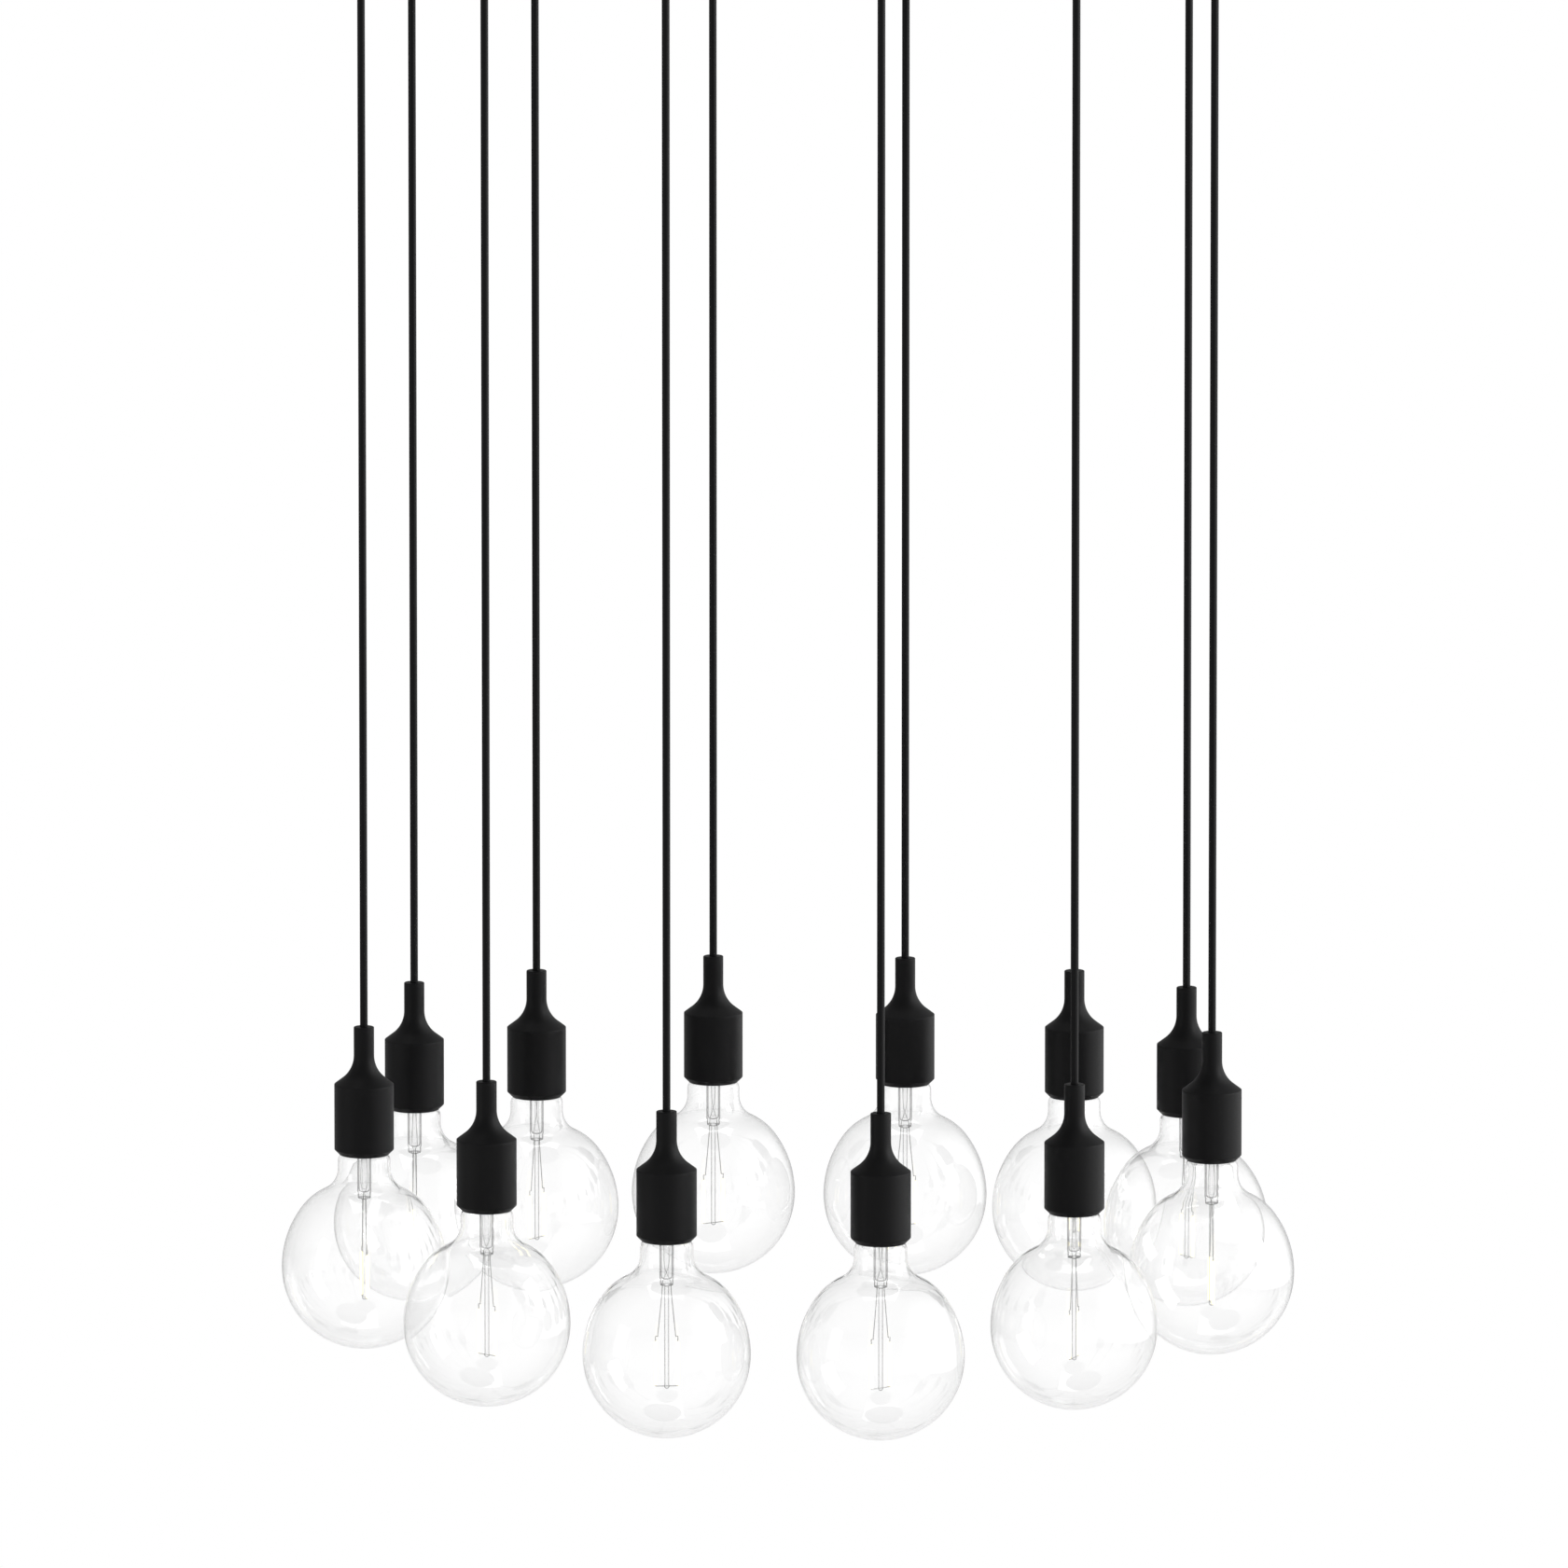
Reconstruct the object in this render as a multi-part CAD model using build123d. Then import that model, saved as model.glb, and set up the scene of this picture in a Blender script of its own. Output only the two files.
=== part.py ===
from build123d import *
import math
import os

os.makedirs("parts", exist_ok=True)

# A ceiling cluster of twelve pendants, in millimetres. The origin is on the ceiling, in the middle
# of the canopy; +Z is up, +X is to the right and +Y is away from the viewer.

# where each pendant hangs: name, x, y, how much longer than cord_drop its cord is, and how many
# degrees its lamp stopped turned from the plane of the view
PENDANTS = [
    ("01", -320, 23, 0, -74),
    ("02", -225, -200, 0, -42),
    ("03", -90, -320, 0, 0),
    ("04", 69, -328, 0, 34),
    ("05", 214, -212, 0, 65),
    ("06", 320, 0, 0, -82),
    ("07", 303, 150, -7, -56),
    ("08", 219, 258, 0, -40),
    ("09", 90, 312, 0, 15),
    ("10", -57, 320, 0, 26),
    ("11", -192, 275, 3, 50),
    ("12", -284, 170, -7, 78),
]
FRONT_LEADS = ["01", "02", "03", "04", "05", "06"]  # left to right on the block's front side
REAR_LEADS = ["12", "11", "10", "09", "08", "07"]  # left to right on its rear side

# clearances
cord_fit = 0.15  # cord in the neck of its cover, all round
holder_fit = 0.1  # lampholder in its cover
swing_gap = 0.3  # round cord end in the mouth of its grip
lamp_fit = 0.2  # lamp cap in the lampholder's bore
glass_gap = 0.3  # glass envelope to the mount inside it, and to the cap
seat_gap = 0.3  # parts that come close but may turn past each other
wire_fit = 0.1  # leads in their clamps, screws in their holes

# cord
cord_d = 5.8
cord_drop = 930  # ceiling to the top of the cover's neck

# silicone cover, measured down from the top of its neck
cover_d = 45
neck_d = 15.4
shoulder_depth = 44  # top of the neck to the shoulder's edge
cover_len = 98  # top of the neck to the rim
rim_chamfer = 4.0
rim_open_d = 36.8
lip_depth = 3.0  # thickness of the rim's lip
cover_wall = 3.4
neck_edge_r = 0.7
flare_r = 22.0  # concave flare between neck and shoulder
shoulder_slope = 37  # degrees that the shoulder's cone falls from level

# lampholder
holder_wall_top = 3.0
chamber_h = 11.0  # room above the lamp for the contacts and the cord's cores
chamber_step = 2.0  # how much narrower that room is than the lamp bore
cap_play = 1.2  # lamp bore beyond the cap's shell
bore_mouth_r = 16.8
dome_h = 5.0
dome_inset = 0.5  # step from the holder's side to its dome
dome_bore_d = 9.0
cord_tail = 1.0  # how far the cord's end reaches into the chamber
contact_t = 0.8
contact_w = 6.0

# lamp cap
cap_d = 26.2
cap_wall = 0.6
cap_root_d = 24.4
thread_pitch = 25.4 / 7
cap_from_rim = 7.5  # how far above the cover's rim the cap's lower edge lies
cap_skirt = 4.0  # plain band below the rolled thread
thread_rings = 4
cap_crown_h = 1.6  # the shell's shoulder above its thread
cap_corner = 0.6  # how far the shell steps in at each end of that shoulder
insulator_h = 4.5
insulator_d = 17.0
insulator_seat_h = 1.0  # above the thread's top
insulator_rim = 1.0  # flat ring round the centre contact
pip_d = 9.6
pip_h = 1.6
pip_edge = 1.4

# glass envelope, measured down from the cover's rim
globe_d = 125
globe_centre = 86
glass_wall = 1.0
glass_neck_d = 39.8
glass_top_in_cap = 9.0
glass_edge_r = 5.9  # rounding of the neck towards the rim
glass_edge_depth = 4.5
upper_r = 75.0  # the globe's upper half is a little fuller than a ball
shoulder_r = 46.0
shoulder_rise = 45.0  # from the globe's widest level up to where the shoulder's arc starts
neck_fillet_r = 18.0

# glass mount with its wires
stem_d = 10.4
stem_wall = 1.0
stem_end = 30  # below the rim
pinch_d = 9.9
pinch_h = 4.0
pinch_cup = 2.0  # depth of the hollow above the pinch
pinch_groove = 0.5  # groove round the stem above the pinch
pinch_edge = 0.6
rod_d = 3.4
rod_end = 112
bead_d = 4.0
flare_h = 6.0
flare_lip = 1.5
wire_d = 0.8
filament_d = 2.0
filament_top = 76
filament_x = 8.3
cross_over = 1.0  # cross wire past the filaments
hook_len = 2.4
hook_step = 1.6  # how far the lead steps out to its hook
lead_root = 4.0  # straight run of the lead below the pinch
inner_wire_x = 1.6

# ceiling canopy
canopy_margin = 41.6  # from the outermost cord to the canopy's edge
canopy_h = 38
canopy_wall = 1.2
canopy_edge_r = 5.0
bar_w = 34
bar_t = 3.0
ear_h = 24
ear_gap = 1.0  # between the ear and the pan's wall
side_screw_z = -14
side_screw_d = 5.0
side_screw_past = 4.0  # its end past the ear
side_head_d = 13
side_head_t = 6
side_head_edge_r = 1.5
side_head_flutes = 16
flute_r = 0.8
flute_out = 0.3  # how far outside the head's edge each flute is centred
slot_spacing = 340
slot_len = 14
slot_w = 5.5
entry_d = 20
entry_gap = 8  # between the saddle and the entry

# cord grips
grip_tube_d = 10
grip_tube_len = 13  # above the pan's floor
grip_flange_d = 20
grip_flange_t = 3
grip_flange_edge_r = 1.0
grip_nose_d = 13
grip_nose_len = 14
grip_nose_flare = 1.5  # how much wider the nose is at the flange, on the radius
grip_nose_edge_r = 0.6
grip_mouth_depth = 4.0  # from the grip's lower end up to where the cord bends
nut_af = 15
nut_t = 4
swing_out = 18  # degrees
mouth_spare = 1  # degrees that the mouth opens wider than that
stub_above_tube = 3

# wiring
lead_d = 3.2
lead_z = -13
lead_bend = 6
lead_run_in = 20
block_l = 140
block_w = 22
block_h = 15
way_pitch = 22
clamp_d = 6.4
clamp_l = 8.5
clamp_screw_d = 3.0
clamp_head_h = 1.6
clamp_head_d = 4.6
screw_slot_w = 0.7
block_corner_r = 2.0

# earth terminal and supply clamp
tag_l = 26
tag_w = 9
tag_t = 1.0
tag_corner_r = 3.0
earth_len = 9.0  # screw below the strap
earth_head_d = 8.4
earth_head_t = 2.4
earth_slot_w = 1.0
earth_nut_af = 8
earth_nut_t = 3.2
saddle_l = 12
saddle_w = 26
saddle_t = 2.0
saddle_bore_d = 8.4
saddle_gap = 5  # between the terminal block and the saddle

BOTTOM = (Align.CENTER, Align.CENTER, Align.MIN)
TOP = (Align.CENTER, Align.CENTER, Align.MAX)


def at(x, y, z):
    return Location((x, y, z))


def rod(r, z_low, z_high):
    return at(0, 0, z_low) * Cylinder(r, z_high - z_low, align=BOTTOM)


def turned(edges):
    """A solid turned about the Z axis from an outline in the XZ plane."""
    face = make_face(Plane.XZ * edges)
    return revolve(face, Axis.Z, 360)


def polar(centre, r, angle):
    """The point on an arc, the angle in degrees from +X towards +Y of the sketch."""
    a = math.radians(angle)
    return (centre[0] + r * math.cos(a), centre[1] + r * math.sin(a))


def toward(a, b, distance):
    length = math.hypot(b[0] - a[0], b[1] - a[1])
    return (a[0] + (b[0] - a[0]) * distance / length, a[1] + (b[1] - a[1]) * distance / length)


def arc_between(start, end, centre, r):
    """The short arc from start to end about a centre."""
    mid = toward(centre, ((start[0] + end[0]) / 2, (start[1] + end[1]) / 2), r)
    return ThreePointArc(start, mid, end)


# ---------------------------------------------------------------- cover and lampholder
# In this section z = 0 is the top of the cover's neck and the cover hangs below it.

cover_r = cover_d / 2
neck_r = neck_d / 2
cavity_r = cover_r - cover_wall
holder_r = cavity_r - holder_fit
lip_top = -cover_len + lip_depth
cap_shell_h = cap_skirt + thread_rings * thread_pitch
bore_r = cap_d / 2 + lamp_fit
bore_top = -cover_len + cap_from_rim + cap_shell_h + cap_play
chamber_r = bore_r - chamber_step
chamber_top = bore_top + chamber_h
pip_top = -cover_len + cap_from_rim + cap_shell_h + insulator_h + pip_h
cord_low = chamber_top - cord_tail
cord_r = cord_d / 2
holder_top = chamber_top + holder_wall_top


def make_cover():
    """Bottle-shaped silicone cover: neck, concave flare, cylinder and chamfered rim."""
    slope = math.radians(shoulder_slope)
    shoulder = (cover_r, -shoulder_depth)
    # the flare turns from upright until it runs on as the shoulder's cone
    cone_start_x = neck_r + flare_r - flare_r * math.sin(slope)
    cone_start = (cone_start_x, shoulder[1] + (cover_r - cone_start_x) * math.tan(slope))
    flare_centre = (neck_r + flare_r, cone_start[1] + flare_r * math.cos(slope))
    outline = Polyline(
        (cord_r + cord_fit, 0),
        (neck_r - neck_edge_r, 0),
    )
    outline += ThreePointArc(
        (neck_r - neck_edge_r, 0),
        polar((neck_r - neck_edge_r, -neck_edge_r), neck_edge_r, 45),
        (neck_r, -neck_edge_r),
    )
    outline += Line((neck_r, -neck_edge_r), (neck_r, flare_centre[1]))
    outline += arc_between((neck_r, flare_centre[1]), cone_start, flare_centre, flare_r)
    rim_r = cover_r - rim_chamfer
    holder_dome_top = holder_top + dome_h
    outline += Polyline(
        cone_start,
        shoulder,
        (cover_r, -cover_len + rim_chamfer),
        (rim_r, -cover_len),
        (rim_open_d / 2, -cover_len),
        (rim_open_d / 2, lip_top),
        (cavity_r, lip_top),
        (cavity_r, holder_top),
        (dome_bore_d / 2 + dome_h, holder_dome_top + holder_fit),
        (cord_r + cord_fit, holder_dome_top + holder_fit),
        (cord_r + cord_fit, 0),
    )
    return turned(outline)


def make_holder():
    """Lampholder body with the bore for the lamp's cap, its dome, and both contacts."""
    body = rod(holder_r, lip_top, holder_top)
    body -= rod(bore_r, lip_top, bore_top)
    mouth_h = bore_mouth_r - bore_r
    mouth = at(0, 0, lip_top) * Cone(bore_mouth_r, bore_r, mouth_h, align=BOTTOM)
    body -= mouth
    # chamber above the lamp, for the contacts and the cord's cores
    body -= rod(chamber_r, bore_top, chamber_top)
    body -= rod(dome_bore_d / 2, chamber_top, holder_top)
    dome = at(0, 0, holder_top) * Cone(
        holder_r - dome_inset, dome_bore_d / 2 + dome_h - dome_inset, dome_h, align=BOTTOM
    )
    dome -= rod(cord_r + cord_fit, holder_top, holder_top + dome_h)
    # sprung tongue that presses on the lamp's centre contact, on two legs
    tongue_z = pip_top + seat_gap
    half = math.sqrt((chamber_r - wire_fit) ** 2 - (contact_w / 2) ** 2)
    contact = at(0, 0, tongue_z) * Box(2 * half, contact_w, contact_t, align=BOTTOM)
    leg = Box(contact_t, contact_w, chamber_top - tongue_z, align=BOTTOM)
    for side in (-1, 1):
        contact += at(side * (half - contact_t / 2), 0, tongue_z) * leg
    return [body, dome, contact]


def make_cord(length):
    """Straight cord with a round upper end, centred on the point where it bends."""
    return rod(cord_r, cord_low, length) + at(0, 0, length) * Sphere(cord_r)


# ---------------------------------------------------------------- bulb
# In this section z = 0 is the cover's rim, and what lies above it is inside the cover.

cap_inner_r = cap_root_d / 2 - cap_wall
glass_top_r = cap_inner_r - glass_gap  # the envelope's end inside the cap
glass_top = cap_from_rim + glass_top_in_cap
cap_top = cap_from_rim + cap_shell_h
insulator_seat = cap_top + insulator_seat_h


def globe_face():
    """Half of the envelope's outside, as a closed outline up to the axis."""
    globe_r = globe_d / 2
    glass_r = glass_neck_d / 2
    middle = (0, -globe_centre)
    upper = (globe_r - upper_r, -globe_centre)
    run = math.sqrt(upper_r**2 - shoulder_rise**2)
    join_shoulder = (upper[0] + run, upper[1] + shoulder_rise)
    shoulder = toward(upper, join_shoulder, upper_r - shoulder_r)
    fillet_x = glass_r + neck_fillet_r
    rise = math.sqrt((shoulder_r + neck_fillet_r) ** 2 - (fillet_x - shoulder[0]) ** 2)
    fillet = (fillet_x, shoulder[1] + rise)
    join_fillet = toward(shoulder, fillet, shoulder_r)
    edge_centre = (glass_r - glass_edge_r, -glass_edge_depth)
    edge_turn = math.degrees(math.asin(glass_edge_depth / glass_edge_r))
    edge_top = polar(edge_centre, glass_edge_r, edge_turn)
    top_r = glass_top_r
    cone_top = (top_r, edge_top[1] + (edge_top[0] - top_r) / math.tan(math.radians(edge_turn)))
    outline = arc_between((globe_r, -globe_centre), join_shoulder, upper, upper_r)
    outline += arc_between(join_shoulder, join_fillet, shoulder, shoulder_r)
    outline += arc_between(join_fillet, (glass_r, fillet[1]), fillet, neck_fillet_r)
    outline += Line((glass_r, fillet[1]), (glass_r, edge_centre[1]))
    outline += arc_between((glass_r, edge_centre[1]), edge_top, edge_centre, glass_edge_r)
    outline += Polyline(edge_top, cone_top, (top_r, glass_top), (0, glass_top), (0, middle[1] - globe_r))
    outline += ThreePointArc(
        (0, middle[1] - globe_r), polar(middle, globe_r, -45), (globe_r, middle[1])
    )
    return outline


def make_globe():
    """Thin glass envelope, open at the top where it is cemented into the cap."""
    half = make_face(globe_face())
    whole = half + mirror(half, Plane.YZ)
    core = offset(whole, amount=-glass_wall, kind=Kind.INTERSECTION)
    core += at(0, glass_top, 0) * Rectangle(2 * (glass_top_r - glass_wall), 4 * glass_wall)
    right = at(globe_d, -globe_centre, 0) * Rectangle(2 * globe_d, 4 * globe_d)
    wall = (whole - core) & right
    return revolve(Plane.XZ * wall, Axis.Z, 360)


def make_cap():
    """Lamp cap: rolled shell, insulator and centre contact."""
    low = cap_from_rim
    crest = cap_d / 2
    root = cap_root_d / 2
    inner = cap_inner_r
    top = cap_top
    outline = Polyline((inner, low), (crest, low), (crest, low + cap_skirt - thread_pitch / 2))
    z = low + cap_skirt - thread_pitch / 2
    start = (crest, z)
    for ring in range(thread_rings):
        # a shallow valley between two rolled crests
        end = (crest, z + thread_pitch)
        outline += ThreePointArc(start, (root, z + thread_pitch / 2), end)
        z += thread_pitch
        start = end
    insulator_r = insulator_d / 2
    outline += Polyline(
        start,
        (crest - cap_corner, top),
        (insulator_r + cap_corner, top + cap_crown_h),
        (insulator_r, top + cap_crown_h),
        (insulator_r, insulator_seat),
        (inner - cap_corner, top - cap_wall),
        (inner, top - 2 * cap_wall),
        (inner, low),
    )
    shell = turned(outline)
    insulator = turned(
        Polyline(
            (0, insulator_seat),
            (insulator_r - wire_fit, insulator_seat),
            (insulator_r - wire_fit, top + cap_crown_h),
            (pip_d / 2 + insulator_rim, top + insulator_h),
            (0, top + insulator_h),
            (0, insulator_seat),
        )
    )
    pip = at(0, 0, top + insulator_h) * Cone(pip_d / 2, pip_d / 2 - pip_edge, pip_h, align=BOTTOM)
    return [shell, insulator, pip]


def wire(points, d=wire_d):
    """A thin round wire along straight runs with small bends."""
    path = Polyline(*points) if len(points) == 2 else FilletPolyline(*points, radius=2 * wire_d)
    section = Plane(origin=path @ 0, z_dir=path % 0) * Circle(d / 2)
    return sweep(section, path=path)


def make_mount():
    """Glass stem, pinch and rod, the lead wires with their hooks, and the filaments."""
    flare_top = glass_top
    flare_low = flare_top - flare_h
    flare_d = 2 * (glass_top_r - glass_wall - glass_gap)
    stem_r = stem_d / 2
    r_in = stem_r - stem_wall
    pinch_low = -stem_end - pinch_h
    outline = Polyline(
        (flare_d / 2, flare_top),
        (flare_d / 2, flare_top - stem_wall),
        (stem_r, flare_low),
        (stem_r, -stem_end + pinch_groove),
        (pinch_d / 2 - pinch_groove, -stem_end),
        (pinch_d / 2, -stem_end - pinch_groove),
        (pinch_d / 2, pinch_low + pinch_edge),
        (pinch_d / 2 - pinch_edge, pinch_low),
        (rod_d / 2, pinch_low),
        (rod_d / 2, -rod_end + bead_d / 2),
    )
    bead = (0, -rod_end + bead_d / 2)
    outline += Line((rod_d / 2, bead[1]), (bead_d / 2, bead[1]))
    outline += ThreePointArc((bead_d / 2, bead[1]), polar(bead, bead_d / 2, -45), (0, -rod_end))
    outline += Polyline(
        (0, -rod_end),
        (0, -stem_end),
        (r_in, -stem_end + pinch_cup),
        (r_in, flare_low + stem_wall),
        (flare_d / 2 - flare_lip, flare_top),
        (flare_d / 2, flare_top),
    )
    glass = turned(outline)
    rest = []
    cross_z = -rod_end + bead_d / 2
    lead_low = -stem_end + pinch_cup * (inner_wire_x + wire_d) / r_in
    for side in (-1, 1):
        # lead wire inside the stem, from the cap's insulator down to the pinch
        x = side * inner_wire_x
        rest.append(wire([(x, 0, insulator_seat), (x, 0, lead_low)]))
        # lead wire below the pinch, spread out to its hook
        out = side * filament_x
        lead = wire(
            [
                (side * pinch_d / 3, 0, pinch_low),
                (side * pinch_d / 3, 0, pinch_low - lead_root),
                (out - side * hook_step, 0, -filament_top + hook_len),
                (out, 0, -filament_top + wire_d / 4),
            ]
        )
        rest.append(lead)
        rest.append(at(out, 0, 0) * rod(filament_d / 2, cross_z + wire_d / 2, -filament_top))
    cross = at(0, 0, cross_z) * (Rot(0, 90, 0) * Cylinder(wire_d / 2, 2 * (filament_x + cross_over)))
    glass -= cross
    rest.append(cross)
    return [glass] + rest


# ---------------------------------------------------------------- canopy
canopy_r = max(math.hypot(x, y) for name, x, y, change, turn in PENDANTS) + canopy_margin
saddle_x = block_l / 2 + saddle_gap + saddle_l / 2
entry_x = saddle_x + saddle_l / 2 + entry_gap + entry_d / 2
floor_top = -canopy_h + canopy_wall
grip_low = -canopy_h - grip_flange_t - grip_nose_len
bend_z = grip_low + grip_mouth_depth
tube_top = floor_top + grip_tube_len
stub_top = tube_top + stub_above_tube
bar_half = canopy_r - canopy_wall - ear_gap


def make_pan():
    """Dished plate with twelve cord holes, and the band welded on it with two side-screw holes."""
    edge = (canopy_r - canopy_edge_r, -canopy_h + canopy_edge_r)
    inner_r = canopy_r - canopy_wall
    outline = Line((0, -canopy_h), (edge[0], -canopy_h))
    outline += ThreePointArc(
        (edge[0], -canopy_h), polar(edge, canopy_edge_r, -45), (canopy_r, edge[1])
    )
    outline += Line((canopy_r, edge[1]), (inner_r, edge[1]))
    outline += ThreePointArc(
        (inner_r, edge[1]), polar(edge, canopy_edge_r - canopy_wall, -45), (edge[0], floor_top)
    )
    outline += Polyline((edge[0], floor_top), (0, floor_top), (0, -canopy_h))
    plate = turned(outline)
    for name, x, y, change, turn in PENDANTS:
        hole = Cylinder(grip_tube_d / 2 + wire_fit, 3 * canopy_wall)
        plate -= at(x, y, -canopy_h + canopy_wall / 2) * hole
    band = rod(canopy_r, edge[1], 0) - rod(inner_r, edge[1], 0)
    side_hole = Rot(0, 90, 0) * Cylinder(side_screw_d / 2 + 2 * wire_fit, 4 * canopy_wall)
    for side in (-1, 1):
        band -= at(side * canopy_r, 0, side_screw_z) * side_hole
    return [plate, band]


def make_bracket():
    """Flat strap across the pan, and the ear welded under each of its ends."""
    strap = Box(2 * bar_half, bar_w, bar_t, align=TOP)
    ears = []
    for side in (-1, 1):
        ear_x = side * (bar_half - bar_t / 2)
        ear = at(ear_x, 0, -bar_t) * Box(bar_t, bar_w, ear_h - bar_t, align=TOP)
        ear_hole = Rot(0, 90, 0) * Cylinder(side_screw_d / 2 + wire_fit, 3 * bar_t)
        ears.append(ear - at(ear_x, 0, side_screw_z) * ear_hole)
        slot = Box(slot_len - slot_w, slot_w, 3 * bar_t)
        for end in (-1, 1):
            slot += at(end * (slot_len - slot_w) / 2, 0, 0) * Cylinder(slot_w / 2, 3 * bar_t)
        strap -= at(side * slot_spacing / 2, 0, -bar_t / 2) * slot
    strap -= at(entry_x, 0, -bar_t / 2) * Cylinder(entry_d / 2, 3 * bar_t)
    strap -= at(-entry_x, 0, -bar_t / 2) * Cylinder(side_screw_d / 2 + wire_fit, 3 * bar_t)
    return [strap] + ears


def make_side_screw(side):
    """Round-headed screw through the pan's wall into the bracket's ear."""
    length = canopy_wall + ear_gap + bar_t + side_screw_past
    shank = rod(side_screw_d / 2, 0, length)
    head = at(0, 0, -side_head_t) * Cylinder(side_head_d / 2, side_head_t, align=BOTTOM)
    head = fillet(head.edges().group_by(Axis.Z)[0], side_head_edge_r)
    for flute in range(side_head_flutes):
        x, y = polar((0, 0), side_head_d / 2 + flute_out, 360 * flute / side_head_flutes)
        head -= at(x, y, -side_head_t / 2) * Cylinder(flute_r, 2 * side_head_t)
    screw = Rot(0, -90 * side, 0) * (shank + head)
    return at(side * canopy_r, 0, side_screw_z) * screw


def make_grip():
    """Cord grip: threaded tube through the pan, flange, tapered nose and flared mouth."""
    grip = rod(grip_tube_d / 2, -canopy_h, tube_top)
    flange = at(0, 0, -canopy_h) * Cylinder(grip_flange_d / 2, grip_flange_t, align=TOP)
    flange = fillet(flange.edges().group_by(Axis.Z)[0], grip_flange_edge_r)
    nose = at(0, 0, grip_low) * Cone(
        grip_nose_d / 2, grip_nose_d / 2 + grip_nose_flare, grip_nose_len, align=BOTTOM
    )
    nose = fillet(nose.edges().group_by(Axis.Z)[0], grip_nose_edge_r)
    grip = grip + flange + nose
    grip -= rod(cord_r + cord_fit, bend_z, tube_top + 1)
    grip -= at(0, 0, bend_z) * Sphere(cord_r + swing_gap)
    # the mouth opens as wide as the cord can swing
    swing = math.radians(swing_out + mouth_spare)
    top_r = (cord_r + swing_gap) / math.cos(swing)
    mouth_h = 2 * grip_mouth_depth
    mouth = Cone(top_r + mouth_h * math.tan(swing), top_r, mouth_h, align=TOP)
    return grip - at(0, 0, bend_z) * mouth


def make_nut():
    nut = extrude(RegularPolygon(nut_af / 2, 6, major_radius=False), nut_t)
    nut -= Cylinder(grip_tube_d / 2 + wire_fit, 3 * nut_t)
    return at(0, 0, floor_top) * nut


def make_block():
    """Insulating block under the bracket, with a way for each lead."""
    block = at(0, 0, -bar_t) * Box(block_l, block_w, block_h, align=TOP)
    block = fillet(block.edges().filter_by(Axis.Z), block_corner_r)
    for side in (-1, 1):
        for way in range(len(FRONT_LEADS)):
            x = (way - (len(FRONT_LEADS) - 1) / 2) * way_pitch
            y = side * (block_w / 2 - clamp_l / 2)
            pocket = Rot(90, 0, 0) * Cylinder(clamp_d / 2 + wire_fit, clamp_l + 0.01)
            block -= at(x, y, lead_z) * pocket
            well = Cylinder(clamp_head_d / 2 + wire_fit, block_h, align=TOP)
            block -= at(x, y, lead_z) * well
    return block


def ways():
    """Each lead's pendant and its place on the block: name, x and side."""
    found = []
    for names, side in ((FRONT_LEADS, -1), (REAR_LEADS, 1)):
        for way, name in enumerate(names):
            found.append((name, (way - (len(names) - 1) / 2) * way_pitch, side))
    return found


def make_clamp(x, side):
    y = side * (block_w / 2 - clamp_l / 2)
    clamp = Rot(90, 0, 0) * Cylinder(clamp_d / 2, clamp_l)
    clamp -= Rot(90, 0, 0) * Cylinder(lead_d / 2 + wire_fit, clamp_l)
    clamp -= Cylinder(clamp_screw_d / 2 + wire_fit, clamp_d, align=TOP)
    return at(x, y, lead_z) * clamp


def make_clamp_screw(x, side):
    y = side * (block_w / 2 - clamp_l / 2)
    tip = -lead_d / 2 - seat_gap
    # the slotted head ends level with the block's underside
    foot = -bar_t - block_h - lead_z
    head = rod(clamp_head_d / 2, foot, foot + clamp_head_h)
    head -= at(0, 0, foot) * Box(2 * clamp_head_d, screw_slot_w, clamp_head_h)
    screw = rod(clamp_screw_d / 2, foot + clamp_head_h, tip) + head
    return at(x, y, lead_z) * screw


def make_lead(pendant_x, pendant_y, way_x, side):
    """Inner lead from the cord's stub in the grip to the terminal block."""
    end_y = side * (block_w / 2 - clamp_l)
    turn_y = side * (block_w / 2 + lead_run_in)
    path = FilletPolyline(
        (pendant_x, pendant_y, stub_top),
        (pendant_x, pendant_y, lead_z),
        (way_x, turn_y, lead_z),
        (way_x, end_y, lead_z),
        radius=lead_bend,
    )
    section = Plane(origin=path @ 0, z_dir=path % 0) * Circle(lead_d / 2)
    return sweep(section, path=path)


def make_earth():
    """Earth tag under the bracket, with its screw and nut."""
    hole = Cylinder(side_screw_d / 2 + wire_fit, 4 * earth_nut_t)
    tag = at(0, 0, -bar_t) * Box(tag_l, tag_w, tag_t, align=TOP)
    tag = fillet(tag.edges().filter_by(Axis.Z), tag_corner_r)
    tag -= at(0, 0, -bar_t) * hole
    head_top = -bar_t - earth_len
    screw = rod(side_screw_d / 2, head_top, -bar_t / 4)
    screw += at(0, 0, head_top) * Cylinder(earth_head_d / 2, earth_head_t, align=TOP)
    screw -= at(0, 0, head_top - earth_head_t) * Box(2 * earth_head_d, earth_slot_w, earth_head_t)
    nut = extrude(RegularPolygon(earth_nut_af / 2, 6, major_radius=False), earth_nut_t) - hole
    nut = at(0, 0, -bar_t - tag_t - earth_nut_t) * nut
    return [at(-entry_x, 0, 0) * piece for piece in (tag, screw, nut)]


def make_saddle():
    """Saddle that clamps the supply cable beside its entry."""
    saddle = Box(saddle_l, saddle_w, saddle_t, align=TOP)
    saddle += Rot(0, 90, 0) * Cylinder(saddle_bore_d / 2 + saddle_t, saddle_l)
    saddle -= Rot(0, 90, 0) * Cylinder(saddle_bore_d / 2, 2 * saddle_l)
    saddle &= Box(2 * saddle_l, 2 * saddle_w, saddle_w, align=TOP)
    return at(saddle_x, 0, -bar_t) * saddle


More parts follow.
